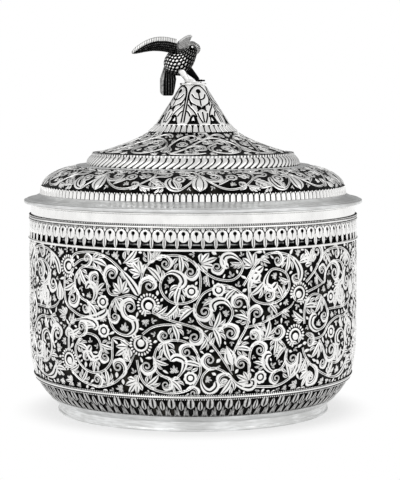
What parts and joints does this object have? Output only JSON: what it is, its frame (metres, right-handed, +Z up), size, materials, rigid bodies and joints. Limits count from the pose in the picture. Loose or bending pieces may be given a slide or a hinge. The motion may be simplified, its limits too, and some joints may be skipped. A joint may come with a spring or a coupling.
{
  "type": "lidded box",
  "caption": "Round pierced and chased silver box with a plain foot ring, a lift-out liner and a domed lid with a bird finial.",
  "frame": {"origin": "on the table under the middle of the foot ring", "axes": "+Z up along the axis of the round body, +X to the right of the pictured front, -Y towards the viewer"},
  "size_m": [0.18, 0.18, 0.2013],
  "materials": {
    "polished_silver": "hand-polished silver, fine scratches",
    "chased_silver": "chased silver with dark oxide in the recesses",
    "dark_silver": "oxidised silver, near black"
  },
  "bodies": {
    "base": {"foot_ring": "polished_silver", "floor_plate": "polished_silver", "leaf_border": "chased_silver", "leaf_wire": "polished_silver", "scroll_wall": "chased_silver", "scroll_wire": "polished_silver", "mouth_border": "chased_silver", "mouth_wire": "polished_silver", "rim_band": "polished_silver"},
    "liner": {"liner_cup": "dark_silver", "liner_rim": "polished_silver"},
    "lid": {"lid_flange": "polished_silver", "lid_bezel": "polished_silver", "lid_tongue_border": "chased_silver", "lid_dome": "chased_silver", "lid_step": "polished_silver", "gadroon_ring": "chased_silver", "milled_ring": "chased_silver", "flare_band": "chased_silver", "neck_border": "chased_silver", "finial_cone": "chased_silver", "cap_plate": "polished_silver", "dome_lining": "dark_silver", "flare_lining": "dark_silver", "finial_stud": "polished_silver", "finial_washer": "polished_silver", "finial_nut": "polished_silver", "bird_body": "chased_silver", "bird_beak": "chased_silver", "bird_near_wing": "chased_silver", "bird_far_wing": "chased_silver", "bird_tail": "chased_silver", "bird_near_leg": "chased_silver", "bird_far_leg": "chased_silver"}
  },
  "joints": [
    {"name": "liner_lift", "type": "slide", "parent": "base", "child": "liner", "axis": [0, 0, 1], "range_m": [0, 0.12]},
    {"name": "lid_lift", "type": "slide", "parent": "liner", "child": "lid", "axis": [0, 0, 1], "range_m": [0, 0.12]}
  ]
}
